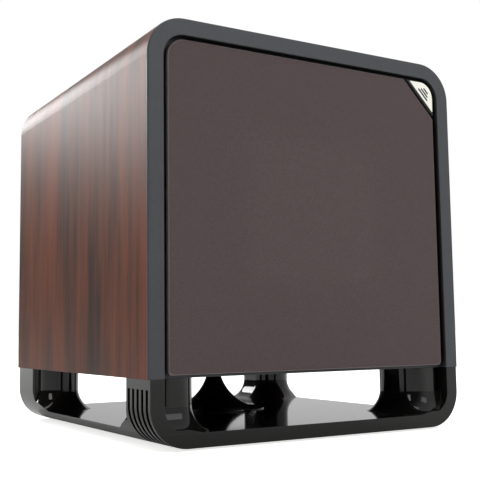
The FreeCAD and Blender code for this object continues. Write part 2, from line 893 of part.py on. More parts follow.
def build_base():
    first_slot = S.front + 4.4
    front_right = slot_cutter("slots", first_slot)
    front_left = mirrored("slots_left", front_right, (1, 0, 0))
    slots = fuse("all_slots", [front_right, front_left])

    plate = new_body("plate_blank")
    profile = [
        (-S.arc_x, S.foot_height, S.base_radius, 1),
        (S.arc_x, S.foot_height),
        (S.plate_half, S.plate_top, S.base_radius, 1),
        (-S.plate_half, S.plate_top),
    ]
    layer(plate, "plate_pad", S.front, S.rear, [profile])
    bores = [(x, y, 5) for x, y in LEG_PLACES]
    pocket(plate, "plate_bores", S.foot_height - 1, S.plate_top, circles=bores, plane="XY_Plane")
    seats = [(x, y, 13) for x, y in FOOT_PLACES]
    pocket(plate, "foot_seats", S.foot_height, S.foot_height + 1, circles=seats, plane="XY_Plane")
    pilots = [(x, y, 1.6) for x, y in FOOT_PLACES]
    pocket(plate, "foot_pilots", S.foot_height, S.plate_top - 3, circles=pilots, plane="XY_Plane")
    keep(cut("base_plate", plate, slots))

    leg = new_body("leg_plan")
    outline = [
        (S.base_half, S.front),
        (S.base_half, S.leg_y - LEG_EDGE),
        (S.base_half - LEG_EDGE, S.leg_y, LEG_EDGE, 1),
        (S.leg_x + S.leg_radius, S.leg_y),
        (S.leg_x, S.leg_y + S.leg_radius, S.leg_radius, 1),
        (S.leg_x - S.leg_radius, S.leg_y, S.leg_radius, 1),
        (S.leg_inside, S.leg_corner_y),
        (S.leg_inside + S.leg_corner, S.leg_face, S.leg_corner, 1),
        (S.recess_half - GROOVE_WIDTH - FACE_ROUND, S.leg_face),
        (S.recess_half - GROOVE_WIDTH, S.leg_face + FACE_ROUND, FACE_ROUND, 1),
        (S.recess_half - GROOVE_WIDTH, S.leg_face + GROOVE_DEPTH),
        (S.recess_half, S.leg_face + GROOVE_DEPTH),
        (S.recess_half, S.front),
    ]
    layer(leg, "leg_pad", S.plate_top, S.parting_height, [outline], plane="XY_Plane")
    section = new_body("leg_section")
    profile = [
        (60, S.plate_top),
        (S.plate_half, S.plate_top),
        (S.base_half, S.arc_z, S.base_radius, 1),
        (S.base_half, S.parting_height),
        (60, S.parting_height),
    ]
    layer(section, "section_pad", S.front, S.middle, [profile])
    solid = doc.addObject("Part::Common", "leg_solid")
    solid.Base = fuse("leg_whole", [leg] + leg_flares())
    solid.Tool = section
    bore = rod("leg_bore", 5, S.plate_top - 1, 40, S.leg_x, S.leg_y, "z")
    hole = rod("leg_hole", 2.4, 39, S.parting_height + 1, S.leg_x, S.leg_y, "z")
    plain = cut("leg_plain", solid, fuse("leg_bores", [bore, hole]))
    front = keep(cut("leg_front_right", plain, front_right))
    keep(mirrored("leg_front_left", front, (1, 0, 0)))
    rear = keep(mirrored("leg_rear_right", plain, (0, 1, 0)))
    keep(mirrored("leg_rear_left", rear, (1, 0, 0)))

    screw = screw_master("leg_screw_master", 4.5, 4.0, 2.2, 34.0, "z")
    copies("base_screws", screw, [(x, y, 40) for x, y in LEG_PLACES])
    foot = turned(
        "foot_master",
        [(4.3, 0), (12, 0), (13, 1, 1, 1), (13, 3), (1.7, 3), (1.7, 2.2), (4.3, 2.2)],
        axis="z",
    )
    copies("rubber_feet", foot, [(x, y, 0) for x, y in FOOT_PLACES])
    screw = screw_master("foot_screw_master", 4.0, 1.4, 1.6, 9.5, "z")
    copies("foot_screws", screw, [(x, y, 2.2) for x, y in FOOT_PLACES])


def build_port():
    waist, shoulder = 9.0, 50.0
    width = S.diffuser_radius - waist
    height = shoulder - (S.plate_top + 1)
    bend = (width * width + height * height) / (2 * height)
    diffuser = turned(
        "port_diffuser",
        [
            (0, S.plate_top),
            (S.diffuser_radius, S.plate_top),
            (S.diffuser_radius, S.plate_top + 1),
            (waist, shoulder, bend, -1),
            (6.5, shoulder + 5.5),
            (0, shoulder + 7.5),
        ],
        y=S.port_offset,
        axis="z",
    )
    keep(diffuser)
    low, shelf, high = S.parting_height, S.floor_top, S.parting_height + 170
    mouth = 14.0
    bend = (mouth * mouth + 18.0 * 18.0) / (2 * mouth)
    tube = turned(
        "port_tube",
        [
            (S.port_radius + mouth, low),
            (S.port_radius, shelf, bend, -1),
            (S.port_radius, high),
            (S.port_radius + 2.5, high),
            (S.port_radius + 2.5, shelf),
            (S.port_radius + 16, shelf),
            (S.port_radius + 16, low),
        ],
        y=S.port_offset,
        axis="z",
    )
    keep(tube)


# ---------------------------------------------------------------- amplifier


def build_amp_panel():
    panel = keep(new_body("amp_panel"))
    outline = rounded(-S.amp_half_width, S.amp_low, S.amp_half_width, S.amp_high, 5)
    layer(panel, "panel_pad", S.plate_back, S.plate_face, [outline])
    holes = [(x, z, 1.9) for x, z in AMP_SCREW_PLACES]
    holes += [(x, S.control_row, 3.4) for x in (VOLUME_X, CROSSOVER_X)]
    holes += [(x, S.socket_row, 4.05) for x in JACK_XS]
    holes += [(LED_X, S.control_row + 24, 2.55)]
    slots = [
        rectangle(PHASE_X - 5, S.control_row - 3.2, PHASE_X + 5, S.control_row + 3.2),
        rectangle(MODE_X - 7, S.control_row - 3.2, MODE_X + 7, S.control_row + 3.2),
        rectangle(ROCKER_X - 14, S.socket_row - 10.5, ROCKER_X + 14, S.socket_row + 10.5),
        rectangle(INLET_X - 15, S.socket_row - 11.5, INLET_X + 15, S.socket_row + 11.5),
    ]
    pocket(panel, "panel_holes", S.plate_back, S.plate_face, slots, holes)

    gasket = keep(new_body("amp_gasket"))
    ring = [
        rounded(1 - S.amp_half_width, S.amp_low + 1, S.amp_half_width - 1, S.amp_high - 1, 4),
        rectangle(-84, S.amp_low + 11, 84, S.amp_high - 11),
    ]
    layer(gasket, "gasket_pad", S.rear, S.plate_back, ring)
    holes = [(x, z, 1.9) for x, z in AMP_SCREW_PLACES]
    pocket(gasket, "gasket_screw_holes", S.rear, S.plate_back, circles=holes)

    screw = screw_master("amp_screw_master", 3.5, 2.2, 1.8, 15.0)
    screw.Placement = FreeCAD.Placement(FreeCAD.Vector(), FreeCAD.Rotation(FreeCAD.Vector(0, 0, 1), 180))
    copies("amp_screws", screw, [(x, S.plate_face.value, z) for x, z in AMP_SCREW_PLACES])

    sink = keep(new_body("heat_sink"))
    layer(sink, "sink_base", S.plate_face, S.plate_face + 3, [rectangle(-82, 252, 82, 338)])
    fin = layer(
        sink, "sink_fin", S.plate_face + 3, S.rear + S.rear_reach, [rectangle(-82, 252, -80, 338)]
    )
    along(sink, "sink_fins", fin, "H_Axis", 162, 19)


def build_knobs():
    pots = []
    for name, x in (("volume_knob", VOLUME_X), ("crossover_knob", CROSSOVER_X)):
        low, top = S.plate_face + 0.6, S.plate_face + 12.6
        profile = [
            (S.plate_back - 13, 0),
            (S.plate_back - 13, 3),
            (low, 3),
            (low, S.knob_radius),
            (top - 1.2, S.knob_radius - 0.8),
            (top, S.knob_radius - 2, 1.2, -1),
            (top, 0),
        ]
        knob = keep(turned(name, profile, x=x, z=S.control_row))
        slit = [rectangle(-0.6, 3, 0.6, S.knob_radius + 1)]
        pocket(knob, name + "_mark", top - 0.7, top + 0.1, slit)
        pot = turned(
            "pot_%s" % name, tube_path(S.plate_back - 12, S.plate_back, 3.08, 8.5), x=x, z=S.control_row
        )
        pots.append(pot)
    group("potentiometers", pots)


def switch_body(name, x, half_slot):
    """A housing behind the panel, open towards it, that holds a sliding lever."""
    body = new_body(name)
    back, low, high = S.plate_back - 10, S.control_row - 6, S.control_row + 6
    layer(body, name + "_pad", back, S.plate_back, [rectangle(x - 12, low, x + 12, high)])
    slot = rectangle(x - half_slot, S.control_row - 3.2, x + half_slot, S.control_row + 3.2)
    pocket(body, name + "_slot", back + 4, S.plate_back, [slot])
    return body


def build_switches():
    bodies = []
    for label, x, half_slot in (("phase", PHASE_X, 5), ("mode", MODE_X, 7)):
        bodies.append(switch_body(label + "_body", x, half_slot))
        left = x - half_slot + 0.5
        lever = keep(new_body(label + "_lever"))
        low, high = S.control_row - 2.6, S.control_row + 2.6
        shank = rectangle(left, low, left + 5, high)
        layer(lever, label + "_shank", S.plate_back - 5.5, S.plate_face + 4, [shank])
    group("switch_housings", bodies)


def build_rocker():
    pivot_y = S.plate_face - 1
    housing = keep(new_body("rocker_housing"))
    left, right = ROCKER_X - 13.9, ROCKER_X + 13.9
    low, high = S.socket_row - 10.4, S.socket_row + 10.4
    layer(housing, "housing_box", S.plate_back - 14, S.plate_face, [rectangle(left, low, right, high)])
    layer(
        housing,
        "housing_rim",
        S.plate_face,
        S.plate_face + 1.6,
        [rounded(left - 2, low - 2, right + 2, high + 2, 2)],
    )
    bay = rectangle(left + 1.9, low + 0.9, right - 1.9, high - 0.9)
    pocket(housing, "housing_bay", S.plate_back - 12, S.plate_face + 1.6, [bay])
    stub_holes = [(pivot_y, S.socket_row, 1.58)]
    pocket(housing, "housing_pivot", left + 0.4, right - 0.4, circles=stub_holes, plane="YZ_Plane")

    rocker = keep(new_body("mains_rocker", x=ROCKER_X, y=pivot_y, z=S.socket_row))
    face = [(-3, -8.2), (4.2, -8.4), (1.8, 0), (4.2, 8.4), (-3, 8.2)]
    layer(rocker, "rocker_face", -11.6, 11.6, [face], plane="YZ_Plane")
    layer(rocker, "rocker_stubs", -13.1, 13.1, circles=[(0, 0, 1.5)], plane="YZ_Plane")
    doc.recompute()
    tilt = FreeCAD.Rotation(FreeCAD.Vector(1, 0, 0), ROCKER_TILT)
    rocker.Placement = FreeCAD.Placement(rocker.Placement.Base, tilt)


def build_sockets():
    inlet = keep(new_body("mains_inlet"))
    low, high = S.socket_row - 11.4, S.socket_row + 11.4
    back = S.plate_back - 20
    layer(inlet, "inlet_box", back, S.plate_face, [rectangle(INLET_X - 14.9, low, INLET_X + 14.9, high)])
    flange = rounded(INLET_X - 21, low - 2.6, INLET_X + 21, high + 2.6, 3)
    layer(inlet, "inlet_flange", S.plate_face, S.plate_face + 2, [flange])
    bay = [
        (INLET_X - 12, S.socket_row - 8.2),
        (INLET_X + 12, S.socket_row - 8.2),
        (INLET_X + 12, S.socket_row + 3.2),
        (INLET_X + 7, S.socket_row + 8.2),
        (INLET_X - 7, S.socket_row + 8.2),
        (INLET_X - 12, S.socket_row + 3.2),
    ]
    pocket(inlet, "inlet_bay", back + 3, S.plate_face + 2, [bay])
    blades = []
    for number, (dx, dz) in enumerate(((-7, -1.5), (0, 2.5), (7, -1.5))):
        x, z = INLET_X + dx, S.socket_row + dz
        blades.append(block("blade_%d" % number, x - 1, x + 1, back + 3, S.plate_face - 5, z - 2, z + 2))
    group("inlet_pins", blades)

    jack = turned(
        "jack_master",
        [
            (-12, 3.3),
            (-12, 4.0),
            (0, 4.0),
            (0, 6.2),
            (1.4, 6.2),
            (1.4, 4.15),
            (10.4, 4.15),
            (10.4, 3.3),
        ],
    )
    places = [(x, S.plate_face.value, S.socket_row.value) for x in JACK_XS]
    copies("line_jacks", jack, places)
    insert = turned("insert_master", tube_path(-11, 9.8, 1.7, 3.3))
    copies("jack_inserts", insert, places)
    led = turned(
        "led_master", [(-4, 0), (-4, 2.5), (0.6, 2.5), (2.6, 0, 2.6, -1)], axis="y"
    )
    copies("status_led", led, [(LED_X, S.plate_face.value, S.control_row.value + 24)])


def build_electronics():
    board_back = S.plate_back - 26
    board = keep(new_body("amp_board"))
    layer(board, "board_pad", board_back, board_back + 1.6, [rounded(-76, 132, 76, 328, 3)])
    core = turned("transformer", tube_path(board_back - 36, board_back, 15, 40), x=32, z=185)
    keep(core)
    cans = [
        rod("can_%d" % number, 12.5, board_back - 40, board_back, -36, 165 + 32 * number)
        for number in range(2)
    ]
    group("capacitors", cans)


# ---------------------------------------------------------------- checks and files


def check_objects():
    for thing in doc.Objects:
        if "Invalid" in thing.State or "Error" in thing.State:
            raise RuntimeError("%s failed: %s" % (thing.Name, thing.State))
    for feature in cuts:
        before = feature.BaseFeature.Shape.Volume
        if feature.Shape.Volume > before - 0.01:
            raise RuntimeError("%s cuts nothing" % feature.Name)
    for thing in subparts:
        if thing.Shape.isNull() or not thing.Shape.isValid() or not thing.Shape.Solids:
            raise RuntimeError("%s has no valid solid" % thing.Label)


def write_files():
    os.makedirs("parts", exist_ok=True)
    for thing in subparts:
        thing.Shape.exportStep("parts/%s.step" % thing.Label)
    print("%d sub-parts written" % len(subparts))


build_cabinet()
build_front()
build_grille()
build_trim()
build_basket()
build_motor()
build_moving_parts()
build_base()
build_port()
build_amp_panel()
build_knobs()
build_switches()
build_rocker()
build_sockets()
build_electronics()
doc.recompute()
check_objects()
write_files()
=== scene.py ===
"""Looks of a cube subwoofer: walnut wrap, grey front, cloth grille over the driver, gloss black base."""

import math

import bmesh
import bpy
from mathutils import Euler, Matrix, Vector


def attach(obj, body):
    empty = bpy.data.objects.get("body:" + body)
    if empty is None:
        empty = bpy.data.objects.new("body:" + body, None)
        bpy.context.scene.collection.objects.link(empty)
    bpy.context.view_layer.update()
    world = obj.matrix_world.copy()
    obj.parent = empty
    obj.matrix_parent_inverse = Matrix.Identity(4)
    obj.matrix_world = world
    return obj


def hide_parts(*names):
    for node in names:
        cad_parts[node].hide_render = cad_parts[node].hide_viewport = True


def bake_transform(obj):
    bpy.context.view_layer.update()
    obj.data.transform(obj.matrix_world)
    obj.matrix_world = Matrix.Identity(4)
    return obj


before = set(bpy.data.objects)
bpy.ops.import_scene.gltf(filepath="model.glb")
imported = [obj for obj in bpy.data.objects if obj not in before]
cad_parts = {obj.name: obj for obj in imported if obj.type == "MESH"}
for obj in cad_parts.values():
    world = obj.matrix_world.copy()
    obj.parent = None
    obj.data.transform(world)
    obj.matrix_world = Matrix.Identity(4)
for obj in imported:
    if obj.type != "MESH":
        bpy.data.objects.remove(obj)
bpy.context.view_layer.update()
MM = 0.001

# Places and sizes are in millimetres in the object's own frame, unless a comment says otherwise.
DRIVER = Vector((0, 0, 214.7))
DUST_CAP_RADIUS = 47
STEPS_ROUND = 192

# the wooden box
BOARD_BACK = 175
BOARD_UNDERSIDE = 62

# the grille's outline, which is cut off straight at the badge's corner
GRILLE_HALF = 157.5
GRILLE_LOW, GRILLE_TOP, GRILLE_MIDDLE = 64.7, 364, 214.3
GRILLE_FRONT, GRILLE_FRAME_BACK = -192, -185.6
GRILLE_FOLD = 2.2
GRILLE_LOW_ROUND, GRILLE_HIGH_ROUND, GRILLE_TIP_ROUND = 4, 17, 2
BADGE_CUT = 39
CLOTH_SAG, CLOTH_SAG_REACH = 0.22, 90

# the badge, as the reach of its two straight sides from the corner
BADGE_PLATE = {"right": 157.1, "top": 363.6, "reach": 35.7, "tip": 0.6, "corner": 16.6}
BADGE_FACE = {"right": 156.4, "top": 362.9, "reach": 31.0, "tip": 0.4, "corner": 16}
BADGE_MIDDLE = Vector((143.4, 349.9))
BADGE_POST = (146.0, 352.5)
BAR_LENGTHS = (17.0, 12.5, 8.0)
BAR_PITCH, BAR_SHIFT, BAR_HALF_WIDTH = 3.0, 0.2, 0.8

# the surround: a half roll between two glued lands
LAND_Y = -177.3
ROLL_OUTER, ROLL_INNER = 111.5, 91.0
ROLL_RADIUS, ROLL_SET_BACK = 11, 4.0
LAND_OUTER, LAND_INNER = 114.8, 86.6
RUBBER_THICKNESS = 1.0

# the spider: waves in a cloth between the basket and the voice coil's former
SPIDER_Y = -129.0
SPIDER_RIM, SPIDER_SHELF, WAVES_OUTER, WAVES_INNER = 65.2, 60, 58, 27
WAVE_HEIGHT, WAVE_COUNT = 1.9, 3.5
SPIDER_THICKNESS = 0.7

# the controls on the amplifier's panel
KNOBS = {"volume_knob": (62, "volume_dial"), "crossover_knob": (22, "crossover_dial")}
CONTROL_ROW = 214
PANEL_FACE = 178
KNOB_GAP, KNOB_LENGTH = 0.6, 12.0
FLUTES, FLUTE_DEPTH = 32, 0.28
SCALE_RADIUS, SCALE_MARKS = 12.6, 11

# the camera: angles in degrees, place in metres, lens and sensor in millimetres
VIEW_TURN, VIEW_RISE, VIEW_ROLL = 30.981, 5.976, -0.737
VIEW_PLACE = (-0.4928, -0.8704, 0.1017)
VIEW_LENS, VIEW_SENSOR = 65.5, 36

# soft boxes: place and aim in metres, width, height and power in watts
SOFT_BOXES = {
    "overhead": ((-0.3, 0.1, 2.2), (0, 0, 0.2), 1.8, 1.6, 20),
    "back_window": ((-1.0, 2.65, 1.4), (-0.18, 0, 0.3), 1.5, 0.8, 40),
    "front_fill": ((0.9, -2.4, 1.5), (0, 0, 0.2), 1.4, 1.0, 8),
    "left_fill": ((-2.4, -1.0, 1.3), (0, 0, 0.2), 0.8, 1.4, 14),
}
FLOOR_RADIUS, FLOOR_SIDES = 40, 64
SKY_TILT = 0.35
SKY_RAMP = {"From Min": -0.3, "From Max": 0.55, "To Min": 0.05, "To Max": 0.75}


# ---------------------------------------------------------------- shader values


class Wire:
    """A value inside a material. Sums of wires add the nodes that work them out."""

    def __init__(self, paint, socket):
        self.paint = paint
        self.socket = socket

    def math(self, operation, *others):
        return self.paint.add("Math", {"operation": operation}, (self, *others))

    def __add__(self, other):
        return self.math("ADD", other)

    def __sub__(self, other):
        return self.math("SUBTRACT", other)

    def __rsub__(self, other):
        return self.paint.add("Math", {"operation": "SUBTRACT"}, (other, self))

    def __mul__(self, other):
        return self.math("MULTIPLY", other)

    def __pow__(self, other):
        return self.math("POWER", other)

    __radd__ = __add__
    __rmul__ = __mul__


class Paint:
    """A material being mixed: its nodes and the shader that they feed."""

    def __init__(self, name, **constants):
        self.material = bpy.data.materials.new(name)
        self.material.use_nodes = True
        self.tree = self.material.node_tree
        self.tree.nodes.clear()
        output = self.tree.nodes.new("ShaderNodeOutputMaterial")
        self.shader = self.tree.nodes.new("ShaderNodeBsdfPrincipled")
        self.tree.links.new(self.shader.outputs[0], output.inputs["Surface"])
        for socket, value in constants.items():
            self.shader.inputs[socket.replace("_", " ")].default_value = value

    def add(self, kind, settings=None, inputs=(), output=None):
        """A node of this kind with its settings, then its inputs by order or by name."""
        node = self.tree.nodes.new("ShaderNode" + kind)
        for name, value in (settings or {}).items():
            setattr(node, name, value)
        open_inputs = [socket for socket in node.inputs if socket.enabled]
        if isinstance(inputs, dict):
            pairs = [(next(s for s in open_inputs if s.name == name), v) for name, v in inputs.items()]
        else:
            pairs = list(zip(open_inputs, inputs))
        for socket, value in pairs:
            if isinstance(value, Wire):
                self.tree.links.new(value.socket, socket)
            else:
                socket.default_value = value
        open_outputs = [socket for socket in node.outputs if socket.enabled]
        chosen = node.outputs[output] if output else open_outputs[0]
        return Wire(self, chosen)

    def place(self):
        """The point of the object that is shaded, in metres."""
        return self.add("TexCoord", output="Object")

    def parts(self, vector):
        """The x, y and z of a vector."""
        split = self.tree.nodes.new("ShaderNodeSeparateXYZ")
        self.tree.links.new(vector.socket, split.inputs[0])
        return [Wire(self, socket) for socket in split.outputs]

    def noise(self, pace, detail=2.0, roughness=0.5):
        """Cloudy noise from 0 to 1, with pace changes to the metre along x, y and z."""
        stretched = self.add("VectorMath", {"operation": "MULTIPLY"}, (self.place(), pace))
        return self.add(
            "TexNoise", {}, {"Vector": stretched, "Scale": 1.0, "Detail": detail, "Roughness": roughness}
        )

    def ramp(self, value, low, high, start=0.0, end=1.0):
        """Start below low, end above high, and a smooth change between them."""
        return self.add("MapRange", {"interpolation_type": "SMOOTHSTEP"}, (value, low, high, start, end))

    def mix(self, share, first, second):
        """The first colour where share is 0 and the second where it is 1."""
        return self.add("Mix", {"data_type": "RGBA"}, (share, first, second))

    def feed(self, **wires):
        """Runs wires into the shader's inputs."""
        for name, wire in wires.items():
            self.tree.links.new(wire.socket, self.shader.inputs[name.replace("_", " ")])

    def bump(self, height, depth, strength=1.0, edge=0.0006):
        """Raises the surface by height times depth metres, over edges rounded to a radius of edge metres."""
        rounded = self.add("Bevel", {"samples": 6}, {"Radius": edge})
        raised = {"Strength": strength, "Distance": depth, "Height": height, "Normal": rounded}
        self.feed(Normal=self.add("Bump", {}, raised))


def colour(red, green, blue):
    """A screen colour from 0 to 255 as the shader's own linear colour."""
    screen = [value / 255 for value in (red, green, blue)]
    return tuple(v / 12.92 if v <= 0.04045 else ((v + 0.055) / 1.055) ** 2.4 for v in screen) + (1.0,)


# ---------------------------------------------------------------- finishes


def walnut_veneer():
    """Dark straight-grained walnut whose grain runs up the sides and on over the top."""
    paint = Paint("walnut", Coat_Weight=0.05, Coat_Roughness=0.42, Specular_IOR_Level=0.2)
    boards = paint.noise((3.4, 30, 3.4), 3.0, 0.55)
    streaks = paint.noise((9, 170, 9), 4.0, 0.6)
    fibres = paint.noise((30, 1100, 30), 3.0, 0.7)
    pores = paint.noise((70, 2600, 70), 1.0)
    tone = boards * 0.62 + streaks * 0.28 + fibres * 0.10
    wood = paint.mix(paint.ramp(tone, 0.33, 0.66), colour(48, 25, 15), colour(118, 61, 35))
    red = paint.noise((1.5, 18, 1.5), 2.0)
    wood = paint.mix(paint.ramp(red, 0.45, 0.7, 0.0, 0.35), wood, colour(124, 54, 30))
    shadow = paint.ramp(pores, 0.62, 0.72, 0.0, 0.55)
    paint.feed(
        Base_Color=paint.mix(shadow, wood, colour(38, 26, 22)),
        Roughness=0.36 + fibres * 0.16,
    )
    paint.bump(fibres - shadow, 0.00006, 0.5)
    return paint.material


def satin_paint(name, shade, dust, roughness):
    """Satin lacquer with a faint speckle and low waves, and painted shade in its colour where a narrow gap
    keeps the light out.
    """
    paint = Paint(name, Specular_IOR_Level=0.4)
    grains = paint.noise((1500, 1500, 1500), 2.0)
    waves = paint.noise((28, 28, 28), 2.0)
    # painted shade: ambient occlusion over 11 mm finds the narrow gaps, such as round the grille, where the
    # colour is taken towards near black
    openness = paint.add("AmbientOcclusion", {"samples": 8}, {"Distance": 0.011}, "AO")
    lit = paint.mix(paint.ramp(grains + waves * 0.4, 0.5, 0.95, 0.0, 0.6), shade, dust)
    paint.feed(
        # near black painted shade in the gaps, over the speckled lacquer
        Base_Color=paint.mix(paint.ramp(openness, 0.3, 0.85), colour(6, 6, 7), lit),
        Roughness=roughness + waves * 0.08,
    )
    paint.bump(grains * 0.6 + waves, 0.00003, 0.35, edge=0.0016)
    return paint.material


def grille_knit():
    """Fine woven speaker cloth, with a painted highlight on top of each crossing and along the fold where it
    rolls over the frame's edge.
    """
    paint = Paint("grille_knit", Specular_IOR_Level=0.2, Sheen_Weight=0.12, Sheen_Roughness=0.4)
    x, y, z = paint.parts(paint.place())
    turns = math.tau / 0.00085
    warp = ((x + y) * turns).math("SINE")
    weft = ((z + y) * turns).math("SINE")
    # painted highlight: where warp and weft cross, the colour is lightened on top of the crossing
    crossing = warp * weft
    threads = paint.noise((900, 900, 900), 2.0)
    # the thread noise is the cloth's own tone; the crossings add the painted highlight
    light = paint.ramp(crossing * 0.5 + threads * 0.9, 0.0, 1.0)
    woven = paint.mix(light, colour(72, 62, 63), colour(108, 94, 94))
    # painted highlight: the fold where the cloth rolls over the frame's edge is lightened towards a pale
    # colour
    painted_rim_highlight = paint.ramp(y, (GRILLE_FRONT + 0.1) * MM, (GRILLE_FRONT + 1.1) * MM, 0.0, 0.6)
    paint.feed(
        # pale colour of the painted highlight on the fold
        Base_Color=paint.mix(painted_rim_highlight, woven, colour(168, 156, 154)),
        Roughness=0.72 + threads * 0.2,
    )
    paint.bump(crossing * 0.5 + threads * 0.3, 0.00018, 0.6)
    return paint.material


def gloss_moulding(name, shade, roughness, coat):
    """Moulded glossy plastic with a little flow ripple and fine scratches."""
    paint = Paint(name, Coat_Weight=coat, Coat_Roughness=0.12, Specular_IOR_Level=0.35)
    ripple = paint.noise((9, 9, 9), 1.0)
    scuffs = paint.noise((260, 900, 260), 3.0, 0.65)
    dulled = paint.ramp(scuffs, 0.5, 0.75, 0.0, 0.06)
    paint.feed(
        Base_Color=paint.mix(ripple, shade, tuple(1.25 * part for part in shade[:3]) + (1.0,)),
        Roughness=roughness + dulled,
    )
    paint.bump(ripple, 0.0002, 0.05)
    return paint.material


def moulded_plastic(name, shade, roughness=0.5, grain=700):
    """Plastic from a textured mould."""
    paint = Paint(name, Specular_IOR_Level=0.45)
    leather = paint.noise((grain, grain, grain), 3.0, 0.6)
    flow = paint.noise((30, 30, 30), 1.0)
    lighter = tuple(1.35 * part for part in shade[:3]) + (1.0,)
    paint.feed(
        Base_Color=paint.mix(leather * 0.6 + flow * 0.4, shade, lighter),
        Roughness=roughness + leather * 0.12,
    )
    paint.bump(leather, 0.00008, 0.4)
    return paint.material


def turned_metal(name, shade, roughness, lathe_marks=0.5):
    """Metal turned on a lathe round the driver's centre, with fine rings left by the tool."""
    paint = Paint(name, Metallic=1.0, Specular_IOR_Level=0.5)
    x, y, z = paint.parts(paint.place())
    radius = (x * x + (z - DRIVER.z * MM) ** 2.0) ** 0.5
    rings = paint.add("TexNoise", {"noise_dimensions": "1D"}, {"W": radius * 2600, "Detail": 2.0})
    haze = paint.noise((45, 45, 45), 2.0)
    darker = tuple(0.82 * part for part in shade[:3]) + (1.0,)
    paint.feed(
        Base_Color=paint.mix(haze * 0.5 + rings * 0.5, shade, darker),
        Roughness=roughness + rings * 0.06 + haze * 0.04,
    )
    paint.bump(rings, 0.00002, lathe_marks)
    return paint.material


def cone_skin():
    """Champagne metallic cone: pearly, with a broad painted highlight in its colour that spreads out from
    the middle beyond the dust cap.
    """
    paint = Paint("cone_skin", Coat_Weight=0.15, Coat_Roughness=0.3)
    x, y, z = paint.parts(paint.place())
    up = z - DRIVER.z * MM
    radius = (x * x + up * up) ** 0.5
    rings = paint.add("TexNoise", {"noise_dimensions": "1D"}, {"W": radius * 4200, "Detail": 1.0})
    pearl = paint.noise((2400, 2400, 2400), 1.0)
    angle = up.math("ARCTAN2", x)
    # painted highlight: two wedges of lighter colour by angle round the middle, standing in for the
    # reflection that spreads over the cone
    painted_highlight_fan = ((angle * 2.0 + 0.9).math("SINE") * 0.5 + 0.5) ** 3.0
    past_cap = paint.ramp(radius, (DUST_CAP_RADIUS - 0.5) * MM, (DUST_CAP_RADIUS + 0.5) * MM)
    # the pearl flecks are the cone's own tone; the wedges beyond the dust cap add the painted highlight
    pearl_and_painted_highlight = painted_highlight_fan * past_cap * 0.5 + pearl * 0.3
    paint.feed(
        Base_Color=paint.mix(pearl_and_painted_highlight, colour(192, 180, 168), colour(238, 230, 222)),
        Roughness=0.3 + pearl * 0.1 + past_cap * 0.08,
        Metallic=0.55 + pearl * 0.1,
    )
    paint.bump(rings + pearl * 0.4, 0.000015, 0.5)
    return paint.material


def soft_rubber(name, shade, roughness=0.62):
    """Matt rubber with a dusty bloom."""
    paint = Paint(name, Specular_IOR_Level=0.35)
    bloom = paint.noise((60, 60, 60), 4.0, 0.6)
    skin = paint.noise((1800, 1800, 1800), 1.0)
    dusty = tuple(part * 1.6 + 0.004 for part in shade[:3]) + (1.0,)
    paint.feed(
        Base_Color=paint.mix(paint.ramp(bloom, 0.35, 0.75), shade, dusty),
        Roughness=roughness + bloom * 0.15,
    )
    paint.bump(skin, 0.00004, 0.3)
    return paint.material


def plated_metal(name, shade, roughness):
    """Plated or bare metal with handling haze."""
    paint = Paint(name, Metallic=1.0)
    haze = paint.noise((120, 120, 120), 3.0, 0.6)
    fine = paint.noise((2000, 2000, 2000), 2.0)
    darker = tuple(0.7 * part for part in shade[:3]) + (1.0,)
    paint.feed(
        Base_Color=paint.mix(paint.ramp(haze, 0.35, 0.75), shade, darker),
        Roughness=roughness + haze * 0.14,
    )
    paint.bump(fine, 0.00002, 0.3)
    return paint.material


def brushed_plate(name, shade, roughness, along=(30, 30, 1800)):
    """Anodised or powder-coated sheet brushed along one way."""
    paint = Paint(name, Metallic=0.6)
    strokes = paint.noise(along, 4.0, 0.65)
    cloud = paint.noise((16, 16, 16), 2.0)
    lighter = tuple(1.5 * part for part in shade[:3]) + (1.0,)
    paint.feed(
        Base_Color=paint.mix(strokes * 0.7 + cloud * 0.3, shade, lighter),
        Roughness=roughness + strokes * 0.18,
    )
    paint.bump(strokes, 0.00003, 0.3)
    return paint.material


def fibreboard():
    """Pressed wood fibre, with textured black paint where it faces out at the back and below."""
    paint = Paint("fibreboard", Specular_IOR_Level=0.3)
    x, y, z = paint.parts(paint.place())
    fibres = paint.noise((500, 500, 500), 5.0, 0.75)
    behind = paint.ramp(y, (BOARD_BACK - 0.6) * MM, (BOARD_BACK - 0.3) * MM)
    below = paint.ramp(z, (BOARD_UNDERSIDE + 0.3) * MM, (BOARD_UNDERSIDE + 0.6) * MM, 1.0, 0.0)
    painted = behind.math("MAXIMUM", below)
    raw = paint.mix(fibres, colour(126, 98, 70), colour(176, 147, 112))
    black = paint.mix(fibres, colour(24, 24, 25), colour(38, 38, 39))
    paint.feed(
        Base_Color=paint.mix(painted, raw, black),
        Roughness=0.85 - painted * 0.3,
    )
    paint.bump(fibres, 0.0002, 0.5)
    return paint.material


def loose_wadding():
    """White polyester wadding."""
    paint = Paint("loose_wadding", Specular_IOR_Level=0.15, Sheen_Weight=0.3)
    tufts = paint.noise((90, 90, 90), 6.0, 0.75)
    paint.feed(
        Base_Color=paint.mix(tufts, colour(186, 184, 178), colour(236, 235, 230)),
        Roughness=0.85 + tufts * 0.1,
    )
    paint.bump(tufts, 0.004, 0.8)
    return paint.material


